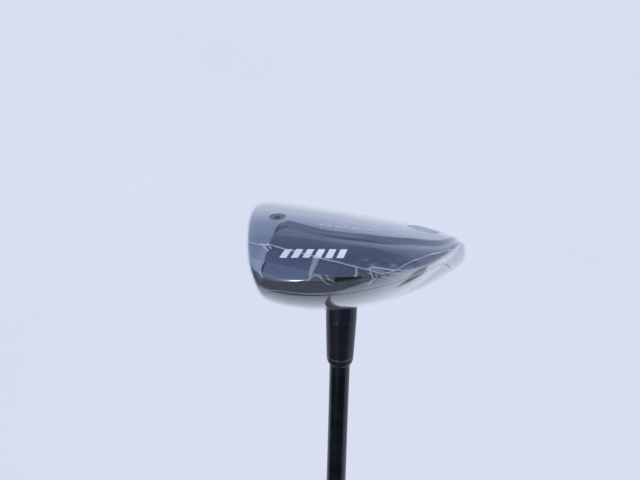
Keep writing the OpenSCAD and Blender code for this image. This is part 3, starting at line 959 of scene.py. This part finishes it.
def buildFerrule():
    bottom = hoselEnd - ferrule["length"]
    ringLow, ringHigh = ferrule["ringFromEnd"], ferrule["ringFromEnd"] + ferrule["ringWidth"]
    groove = ferruleRadius(ringLow) - ferrule["ringDepth"]
    profile = [(ferrule["bore"] / 2, bottom)]
    for i in range(17):
        h = ferrule["rounding"] * (1 - math.cos(math.pi * i / 32))
        profile.append((ferruleRadius(h), bottom + h))
    lowRadius, highRadius, chamfer = ferruleRadius(ringLow), ferruleRadius(ringHigh), 0.08
    profile += [(lowRadius, bottom + ringLow - chamfer), (lowRadius - chamfer, bottom + ringLow),
                (groove, bottom + ringLow), (groove, bottom + ringHigh),
                (highRadius - chamfer, bottom + ringHigh), (highRadius, bottom + ringHigh + chamfer)]
    for h in np.linspace(ringHigh + 0.5, ferrule["length"] - 0.06, 14):
        profile.append((ferruleRadius(h), bottom + h))
    profile += [(ferruleRadius(ferrule["length"]) - 0.05, bottom + ferrule["length"]),
                (ferrule["bore"] / 2, bottom + ferrule["length"])]
    piece = sharpen(lathe("ferrule", profile, ferruleFinish), 28)
    finishPiece(piece, "ferrule_plastic", "ferrule")
    low, high = bottom + ringLow + 0.03, bottom + ringHigh - 0.03
    outer = ferruleRadius(ringLow) + 0.03
    ring = [(groove + 0.03, low), (outer - 0.08, low), (outer, low + 0.1), (outer + 0.01, (low + high) / 2),
            (outer, high - 0.1), (outer - 0.08, high), (groove + 0.03, high)]
    finishPiece(sharpen(lathe("ferruleRing", ring, ringFinish), 28), "ring_metal", "ferrule_ring")


buildFerrule()

shaft = dict(tip=tipDiameter, butt=15.24, wall=1.3, tipParallel=90, buttParallel=290, start=3.0)


def shaftMaterial():
    # gloss black lacquer over wound graphite, with the faint bands that wrapping leaves
    material, tree, shader, place = startMaterial("shaftLacquer")
    grainNode = groupNode(tree, surfaceGrain, place, **{"Grain Scale": 1200.0, "Cloud Scale": 80.0})
    dustNode = groupNode(tree, looseDust, place, Density=0.12)
    wave = tree.nodes.new("ShaderNodeTexWave")
    wave.bands_direction = "Z"
    tree.links.new(place, wave.inputs["Vector"])
    wave.inputs["Scale"].default_value = 160.0
    wave.inputs["Distortion"].default_value = 0.4
    colour = blendColour(tree, grainNode.outputs["Cloud"], (0.004, 0.005, 0.008), (0.008, 0.010, 0.015))
    colour = overlay(tree, colour, wave.outputs["Fac"], 0.18, (0.02, 0.024, 0.034))
    colour = overlay(tree, colour, dustNode.outputs["Dust"], finishMarks["dust"],
                     finishMarks["shaftDustTone"])
    tree.links.new(colour, shader.inputs["Base Color"])
    tree.links.new(rangeNode(tree, grainNode.outputs["Cloud"], 0.0, 1.0, 0.18, 0.26),
                   shader.inputs["Roughness"])
    shader.inputs["IOR"].default_value = 1.32
    bumpInto(tree, shader, mathNode(tree, "ADD", grainNode.outputs["Height"],
                                    mathNode(tree, "MULTIPLY", wave.outputs["Fac"], 0.5)), 0.003)
    return material


def buildShaft():
    taper = tipHeight - shaft["tipParallel"]
    outer = [(shaft["butt"] / 2, shaft["start"])]
    outer += [(shaft["butt"] / 2, z) for z in np.linspace(shaft["start"] + 40, shaft["buttParallel"], 6)]
    outer += [(shaft["butt"] / 2 + (shaft["tip"] - shaft["butt"]) / 2 * u,
               shaft["buttParallel"] + u * (taper - shaft["buttParallel"])) for u in np.linspace(0.04, 1, 30)]
    outer += [(shaft["tip"] / 2, z) for z in np.linspace(taper + 10, tipHeight, 10)]
    inner = [(shaft["tip"] / 2 - shaft["wall"], tipHeight), (shaft["tip"] / 2 - shaft["wall"], taper),
             (shaft["butt"] / 2 - shaft["wall"], shaft["buttParallel"]),
             (shaft["butt"] / 2 - shaft["wall"], shaft["start"])]
    piece = sharpen(lathe("shaft", outer + inner, shaftMaterial(), segments=144), 40)
    return finishPiece(piece, "shaft_lacquer", "shaft")


buildShaft()

# grip
print("stage: grip")
grip = dict(length=267, cap=3, buttWall=5.6, mouthWall=1.5, bore=15.66, power=1.35, grooveDepth=0.45,
            rowPitch=4.4, perRow=18, mouthBand=9.0, capBand=7.0, around=216, steps=520, vent=3.2)
gripFinish = moulded("gripRubber", (0.016, 0.016, 0.018), (0.026, 0.026, 0.029), 0.72, grain=1800.0,
                     height=0.03, dust=0.14, specular=0.35)
capFinish = moulded("capRubber", (0.018, 0.018, 0.020), (0.028, 0.028, 0.031), 0.62, grain=1500.0,
                    height=0.015, dust=0.14, specular=0.4)


def gripRadius(share):
    mouth, butt = grip["bore"] / 2 + grip["mouthWall"], grip["bore"] / 2 + grip["buttWall"]
    return mouth + (butt - mouth) * (1 - share) ** grip["power"]


def gripPattern(turn, z):
    # staggered short grooves between two plain bands, each band closed by a ring groove
    row = (z - grip["cap"]) / grip["rowPitch"]
    stagger = np.where(np.mod(np.floor(row), 2) > 0.5, 0.5, 0.0)
    across = np.abs(np.mod(turn / (2 * np.pi) * grip["perRow"] + stagger, 1) - 0.5)
    inRow = np.abs(np.mod(row, 1) - 0.5)
    dash = smooth((0.30 - across) / 0.10) * smooth((0.22 - inRow) / 0.12)
    cross = smooth((0.085 - across) / 0.05) * smooth((0.42 - inRow) / 0.10)
    pattern = np.maximum(dash * 0.8, cross)
    body = (smooth((z - grip["cap"] - grip["capBand"]) / 2)
            * smooth((grip["length"] - grip["mouthBand"] - z) / 2))
    rings = np.zeros_like(z)
    for place in (grip["cap"] + 5.0, grip["length"] - 6.5, grip["length"] - 4.2):
        rings = np.maximum(rings, smooth((0.55 - np.abs(z - place)) / 0.35))
    return -grip["grooveDepth"] * np.maximum(pattern * body, rings * 0.8)


def buildGrip():
    turn = np.linspace(0, 2 * np.pi, grip["around"], endpoint=False)
    z = np.linspace(grip["cap"], grip["length"], grip["steps"])
    turnGrid, zGrid = np.meshgrid(turn, z)
    share = (zGrid - grip["cap"]) / (grip["length"] - grip["cap"])
    radius = gripRadius(share) + gripPattern(turnGrid, zGrid)
    radius -= 0.5 * smooth((zGrid - grip["length"] + 0.8) / 0.8) ** 2
    rings = np.stack([radius * np.cos(turnGrid), radius * np.sin(turnGrid), zGrid], axis=-1)
    bore = np.stack([grip["bore"] / 2 * np.cos(turn), grip["bore"] / 2 * np.sin(turn), 0 * turn], axis=-1)
    points = np.concatenate([rings.reshape(-1, 3), bore + [0, 0, grip["length"]], bore + [0, 0, grip["cap"]]])
    count, total = len(turn), len(z) + 2
    index = np.arange(total * count).reshape(total, count)
    a, b = index, np.roll(index, -1, axis=1)
    c, d = np.roll(b, -1, axis=0), np.roll(a, -1, axis=0)
    faces = np.stack([a, b, c, d], axis=-1).reshape(-1, 4)
    piece = addObject("grip", points, faces, gripFinish)
    sharpen(piece, 50)
    return finishPiece(piece, "grip_rubber", "grip")


buildGrip()


def buildCap():
    outer, thick, vent = grip["bore"] / 2 + grip["buttWall"], grip["cap"], grip["vent"] / 2
    ring, rim = outer * 0.62, 1.1
    profile = [(vent, thick), (vent, 0.3), (vent + 0.12, 0.1), (vent + 0.35, 0.0), (vent + 1.2, 0.0),
               (vent + 1.35, 0.2), (vent + 1.9, 0.2), (vent + 2.05, 0.0), (ring, 0.0), (ring + 0.15, 0.2),
               (ring + 0.8, 0.2), (ring + 0.95, 0.0), (outer - rim, 0.0)]
    profile += [(outer - rim + rim * math.sin(t), rim - rim * math.cos(t))
                for t in np.linspace(0.15, math.pi / 2, 9)]
    profile += [(outer, thick)]
    piece = sharpen(lathe("gripCap", profile, capFinish, segments=144), 28)
    return finishPiece(piece, "cap_rubber", "grip_cap")


buildCap()

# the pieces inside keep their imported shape
print("stage: inner pieces")
innerFinishes = {
    "crown_adhesive": moulded("curedAdhesive", (0.20, 0.20, 0.19), (0.27, 0.27, 0.25), 0.55, height=0.02),
    "hosel_plug": moulded("hoselPlug", (0.012, 0.012, 0.013), (0.02, 0.02, 0.022), 0.6),
    "shaft_epoxy": moulded("curedEpoxy", (0.17, 0.17, 0.15), (0.24, 0.24, 0.21), 0.4, height=0.02),
    "tip_weight": brushedMetal("tipWeightBrass", (0.40, 0.28, 0.10), (0.62, 0.46, 0.20), 0.35,
                               direction=(1, 1, 0.1)),
    "grip_tape": moulded("paperTape", (0.56, 0.53, 0.45), (0.66, 0.63, 0.55), 0.8, grain=700.0, height=0.03)}
for nodeName, finish in innerFinishes.items():
    mesh = nodes[nodeName].data
    mesh.materials.clear()
    mesh.materials.append(finish)

# film
print("stage: shrink film")
film = dict(gap=0.3, thickness=0.15, skin=0.06, hole=11.0, holeBelow=1002, veil=0.010, creaseVeil=0.45)
# creases as (angle, level) lines with a width and a height in millimetres and how milky they are; the milky
# white is partly real and partly a painted highlight of the creases
creases = [
    dict(line=[(-19, -0.275), (-17, -0.235), (-15.5, -0.205)], width=0.20, height=0.16, milkAndGlint=0.9),
    dict(line=[(-18, -0.235), (-16.5, -0.29), (-14.8, -0.24)], width=0.18, height=0.14, milkAndGlint=0.8),
    dict(line=[(-16.6, -0.20), (-17.2, 0.05), (-18.2, 0.34)], width=1.15, widthEnd=0.2, power=6, height=0.10,
         milkAndGlint=0.16),
    dict(line=[(-18.2, -0.2), (-18.6, 0.34)], width=0.10, height=0.08, milkAndGlint=0.28),
    dict(line=[(1.9, -0.235), (2.0, -0.05), (2.0, 0.20)], width=0.10, height=0.12, milkAndGlint=0.7),
    dict(line=[(4.2, -0.245), (3.1, -0.02), (2.1, 0.20)], width=0.10, height=0.12, milkAndGlint=0.55),
    dict(line=[(3.0, -0.235), (2.3, 0.0), (2.05, 0.20)], width=0.85, widthEnd=0.1, power=6, height=0.10,
         milkAndGlint=0.42),
    dict(line=[(17.6, -0.16), (18.2, -0.05), (17.8, 0.05)], width=0.22, height=0.18, milkAndGlint=0.8),
    dict(line=[(21.5, -0.12), (23.5, -0.155), (26.5, -0.13), (29, -0.09), (31, -0.07)], width=0.16,
         height=0.25, milkAndGlint=0.9),
    dict(line=[(23.2, -0.15), (25, -0.09), (27, -0.03)], width=0.9, height=0.22, milkAndGlint=0.34),
    dict(line=[(22.5, -0.10), (23.5, 0.05), (24.2, 0.2), (23.6, 0.36)], width=0.2, height=0.2, milkAndGlint=0.75),
    dict(line=[(24.5, -0.02), (25.2, 0.1), (24.8, 0.22)], width=0.16, height=0.14, milkAndGlint=0.6),
    dict(line=[(28, -0.03), (33, 0.09), (38, 0.14), (46, 0.20)], width=0.16, height=0.16, milkAndGlint=0.6),
    dict(line=[(32, -0.06), (38, 0.02), (44, 0.13), (52, 0.2)], width=0.16, height=0.16, milkAndGlint=0.65),
    dict(line=[(30, 0.0), (33, 0.16), (38, 0.26), (46, 0.31)], width=0.16, height=0.14, milkAndGlint=0.55),
    dict(line=[(27, 0.05), (29, 0.2), (33, 0.3)], width=0.16, height=0.14, milkAndGlint=0.5),
    dict(line=[(34, 0.03), (36, 0.12), (35, 0.22)], width=0.14, height=0.12, milkAndGlint=0.5),
    dict(line=[(1.0, 0.24), (4.0, 0.06), (6.5, 0.15)], width=0.14, height=0.12, milkAndGlint=0.6),
    dict(line=[(5.5, 0.05), (7, 0.2), (9.5, 0.28)], width=0.14, height=0.12, milkAndGlint=0.6),
    dict(line=[(8, 0.03), (8.8, 0.14), (11, 0.22)], width=0.14, height=0.12, milkAndGlint=0.5)]


def spread3d(line):
    line = np.array(line, float)
    steps = np.linspace(0, len(line) - 1, 12 * (len(line) - 1) + 1)
    index = np.arange(len(line))
    return headPoints(np.interp(steps, index, line[:, 0]), np.interp(steps, index, line[:, 1]),
                      -film["gap"] - film["thickness"])


def distanceTo(points, path):
    # distance in millimetres from each point to a polyline
    best, share = np.full(len(points), 1e9), np.zeros(len(points))
    for i, (a, b) in enumerate(zip(path[:-1], path[1:])):
        along = b - a
        t = np.clip(((points - a) @ along) / max(along @ along, 1e-12), 0, 1)
        away = np.linalg.norm(points - a - t[:, None] * along, axis=1)
        share = np.where(away < best, (i + t) / (len(path) - 1), share)
        best = np.minimum(best, away)
    return best, share


def waves(points, scale, seed):
    # slow smooth unevenness from a few seeded sines
    rng = np.random.default_rng(seed)
    total = np.zeros(len(points))
    for _ in range(7):
        direction = rng.normal(size=3)
        direction /= np.linalg.norm(direction)
        total += np.sin(points @ direction * scale * rng.uniform(0.6, 1.6) + rng.uniform(0, 6.28))
    return total / 7


seamPath = [
    (-32, -0.262), (-25.5, -0.262), (-22.5, -0.255), (-19.5, -0.255), (-15.5, -0.283), (-11.5, -0.27),
    (-5.5, -0.265), (0, -0.255), (5.5, -0.235), (12, -0.21), (17.5, -0.165), (22, -0.115), (24.5, -0.06),
    (26, -0.02), (28.5, -0.025), (31.5, -0.065), (34.5, -0.135), (38, -0.19), (46.5, -0.235),
    (58.5, -0.19), (70, -0.03), (80, 0.07)]
filmLift = film["gap"] + film["thickness"]


def filmShape(points):
    # how far the film stands off, and how milky it is (partly a painted highlight), from creases and slow
    # waves
    lift, milkAndGlint = np.zeros(len(points)), np.zeros(len(points))
    for crease in creases:
        path = spread3d(crease["line"])
        close = np.linalg.norm(points - path.mean(axis=0), axis=1) < 30
        away, share = np.full(len(points), 99.0), np.zeros(len(points))
        away[close], share[close] = distanceTo(points[close], path)
        width = crease["width"] + (crease.get("widthEnd", crease["width"]) - crease["width"]) * share
        ridge = np.exp(-(away / width) ** (crease.get("power", 2)))
        lift = np.maximum(lift, crease["height"] * ridge)
        milkAndGlint = np.maximum(milkAndGlint, crease["milkAndGlint"] * ridge)
    seam = distanceTo(points, spread3d(seamPath))[0]
    milkAndGlint = np.maximum(milkAndGlint, 0.22 * np.exp(-(seam / 0.3) ** 2))
    gather = spread3d([(22, -0.10), (28, 0.0), (36, 0.05), (44, 0.16)])
    closeness = np.exp(-(distanceTo(points, gather)[0] / 3.2) ** 2)
    lift += closeness * (0.10 + 0.10 * waves(points, 3.2, 5)) + 0.035 * waves(points, 0.5, 2)
    milkAndGlint = np.maximum(milkAndGlint, closeness * 0.28 * np.clip(waves(points, 5.0, 9) * 2.2 + 0.15, 0, 1))
    return np.maximum(lift, -0.05), milkAndGlint


def filmMaterial(name, milkiness, tone):
    # clear film: nearly invisible where it is tight, milky where it is creased or welded; the whitish crease
    # colour is partly a painted highlight
    material, tree, shader, place = startMaterial(name)
    mark = tree.nodes.new("ShaderNodeAttribute")
    mark.attribute_name = "milkAndGlint"
    grainNode = groupNode(tree, surfaceGrain, place, **{"Grain Scale": 260.0, "Cloud Scale": 55.0})
    haze = rangeNode(tree, grainNode.outputs["Cloud"], 0.0, 1.0, milkiness * 0.6, milkiness * 1.5)
    creased = mathNode(tree, "MULTIPLY", mark.outputs["Fac"], film["creaseVeil"])
    alpha = mathNode(tree, "ADD", haze, creased, True)
    gloss = tree.nodes.new("ShaderNodeFresnel")
    gloss.inputs["IOR"].default_value = 1.45
    alpha = mathNode(tree, "ADD", alpha, mathNode(tree, "MULTIPLY", gloss.outputs["Fac"], 0.10), True)
    tree.links.new(alpha, shader.inputs["Alpha"])
    # painted highlight in part: marked creases and the seam turn whitish as well as more opaque
    colour = blendColour(tree, mark.outputs["Fac"], tone, (0.86, 0.89, 0.95))
    tree.links.new(colour, shader.inputs["Base Color"])
    tree.links.new(rangeNode(tree, mark.outputs["Fac"], 0.0, 1.0, 0.07, 0.25), shader.inputs["Roughness"])
    shader.inputs["IOR"].default_value = 1.6
    wrinkles = noiseNode(tree, place, 95.0, 2.0, 0.45, 0.6)
    bumpInto(tree, shader, wrinkles, 0.05)
    return material


filmFinish = filmMaterial("shrinkFilm", film["veil"], (0.62, 0.67, 0.78))
seamFinish = filmMaterial("filmSeamWeld", 0.35, (0.80, 0.84, 0.92))


def buildFilm():
    lifts = {}

    def push(columns, rows, angle, level, points):
        lift, milkAndGlint = filmShape(points.reshape(-1, 3))
        lifts["milkAndGlint"] = milkAndGlint
        return lift.reshape(columns.shape)

    columns = np.concatenate([np.arange(-60, -24, 1.2), np.arange(-24, 56, 0.33), np.arange(56, 110, 1.0),
                              np.arange(110, 300, 2.2)])
    rows = np.concatenate([np.linspace(0, 0.97, 26), np.linspace(1, 1.985, 190), np.linspace(2, 2.98, 60),
                           np.linspace(3, 4, 36)])
    cover, used = headGrid("shrinkFilm", lambda row, column: True, filmFinish, inset=-filmLift, push=push,
                           rows=rows, columns=columns, lean=False, wall=film["skin"])
    layer = cover.data.attributes.new("milkAndGlint", "FLOAT", "POINT")
    layer.data.foreach_set("value", np.tile(lifts["milkAndGlint"], 2)[used].astype(np.float32))
    work = bmesh.new()
    work.from_mesh(cover.data)
    around = [v for v in work.verts
              if math.hypot(v.co.x, v.co.y) < film["hole"] * mm and v.co.z < film["holeBelow"] * mm]
    bmesh.ops.delete(work, geom=around, context="VERTS")
    rim = [e for e in work.edges if e.is_boundary]
    bmesh.ops.bridge_loops(work, edges=rim)
    bmesh.ops.remove_doubles(work, verts=work.verts, dist=5e-7)
    work.to_mesh(cover.data)
    work.free()
    cover.data.shade_smooth()
    return finishPiece(cover, "film", "shrink_film")


filmPiece = buildFilm()
lit = bpy.data.collections.new("sparkleReceivers")
for thing in (headBody, crownPanel, filmPiece):
    lit.objects.link(thing)
sparkle.light_linking.receiver_collection = lit


fin = dict(height=0.34, heightSwing=0.16, wander=0.12, halfWidth=0.035, sink=0.02, milkAndGlint=0.55, milkSwing=0.3)


def buildSeam():
    # the welded seam is a thin fin that wanders a little and stands off the film
    path = np.array(seamPath, float)
    steps = np.linspace(0, len(path) - 1, 320)
    index = np.arange(len(path))
    angle = np.interp(steps, index, path[:, 0])
    level = np.interp(steps, index, path[:, 1])
    root = headPoints(angle, level, -filmLift)
    lift = filmShape(root)[0]
    outward = outwardAt(angle, level, -filmLift)
    forward = np.gradient(root, axis=0)
    forward /= np.linalg.norm(forward, axis=1, keepdims=True)
    side = np.cross(forward, outward)
    wander = fin["wander"] * waves(root, 1.4, 11)[:, None]
    height = fin["height"] + fin["heightSwing"] * waves(root, 0.9, 4)[:, None]
    base = root + outward * (lift[:, None] - fin["sink"])
    crest = base + outward * height + side * wander
    half = fin["halfWidth"]
    sections = np.stack([base - side * half, crest - side * half * 0.8, crest + side * half * 0.8,
                         base + side * half], axis=1)
    count = len(steps)
    faces = [(3, 2, 1, 0), tuple(4 * (count - 1) + k for k in range(4))]
    faces += [(4 * i + k, 4 * i + (k + 1) % 4, 4 * i + 4 + (k + 1) % 4, 4 * i + 4 + k)
              for i in range(count - 1) for k in range(4)]
    piece = addObject("filmSeam", sections.reshape(-1, 3), faces, seamFinish)
    layer = piece.data.attributes.new("milkAndGlint", "FLOAT", "POINT")
    milkiness = fin["milkAndGlint"] + fin["milkSwing"] * waves(root, 2.0, 8)
    layer.data.foreach_set("value", np.repeat(milkiness, 4).astype(np.float32))
    faceOutward(piece)
    return finishPiece(sharpen(piece, 40), "film_seam", "film_seam")


buildSeam()

# painted marks: six plain slanted bars on the side and faint dashes on the sole
print("stage: marks")
markFinish = moulded("whiteMark", (0.78, 0.80, 0.84), (0.86, 0.88, 0.91), 0.45, height=0.004)
faintFinish = moulded("faintMark", (0.42, 0.45, 0.52), (0.50, 0.53, 0.60), 0.5, height=0.004)


def markPatch(corners, divisions=(10, 5)):
    # a thin painted patch between four corners given as (angle, level)
    (a0, v0), (a1, v1), (a2, v2), (a3, v3) = corners
    s, t = np.meshgrid(np.linspace(0, 1, divisions[0]), np.linspace(0, 1, divisions[1]))
    angle = (1 - t) * ((1 - s) * a0 + s * a1) + t * ((1 - s) * a3 + s * a2)
    level = (1 - t) * ((1 - s) * v0 + s * v1) + t * ((1 - s) * v3 + s * v2)
    return headPoints(angle, level), outwardAt(angle, level), divisions


def buildMarks(name, patches, material, depth, lift):
    points, faces = [], []
    for corners in patches:
        surface, outward, (across, down) = markPatch(corners)
        for layer in (depth + lift, depth - 0.05):
            base = len(points)
            points += [tuple(p) for p in (surface + outward * layer).reshape(-1, 3)]
            for i in range(down - 1):
                for j in range(across - 1):
                    quad = (base + i * across + j, base + i * across + j + 1,
                            base + (i + 1) * across + j + 1, base + (i + 1) * across + j)
                    faces.append(quad if layer > depth else quad[::-1])
        top, low = len(points) - 2 * across * down, len(points) - across * down
        rim = ([j for j in range(across)] + [i * across + across - 1 for i in range(1, down)]
               + [(down - 1) * across + j for j in range(across - 2, -1, -1)]
               + [i * across for i in range(down - 2, 0, -1)])
        for a, b in zip(rim, rim[1:] + rim[:1]):
            faces.append((top + a, low + a, low + b, top + b))
    piece = addObject(name, points, faces, material)
    faceOutward(piece)
    return finishPiece(sharpen(piece, 40), "body_paint")


bars = dict(first=-10.0, last=15.2, count=6, fill=0.62, slant=-0.9)


def barCorners():
    patches = []
    pitch = (bars["last"] - bars["first"]) / bars["count"]

    def upper(angle):
        return np.interp(angle, [-10, -6, -1.5, 3.5, 8, 12.5, 16],
                         [-0.275, -0.305, -0.33, -0.36, -0.38, -0.395, -0.405])

    def lower(angle):
        return np.interp(angle, [-10, -5.5, -1, 3, 7.5, 12, 16],
                         [-0.15, -0.185, -0.22, -0.24, -0.26, -0.28, -0.29])

    for i in range(bars["count"]):
        start = bars["first"] + i * pitch
        end = start + pitch * bars["fill"]
        shift = bars["slant"]
        patches.append([(start, upper(start)), (end, upper(end)), (end + shift, lower(end)),
                        (start + shift, lower(start))])
    return patches


buildMarks("sideMarks", barCorners(), markFinish, -shell["recess"], 0.04)


dashes = dict(first=-2.5, pitch=4.0, count=11, length=2.6, depth=0.024, fall=0.003)


def dashCorners():
    patches = []
    for i in range(dashes["count"]):
        start = dashes["first"] + i * dashes["pitch"]
        end = start + dashes["length"]
        top = np.interp(start, [-3, 41.5], [-0.672, -0.735])
        low = top + dashes["depth"]
        patches.append([(start, top), (end, top - dashes["fall"]), (end, low - dashes["fall"]), (start, low)])
    return patches


buildMarks("soleMarks", dashCorners(), faintFinish, 0.0, 0.03)

# close
print("stage: done")
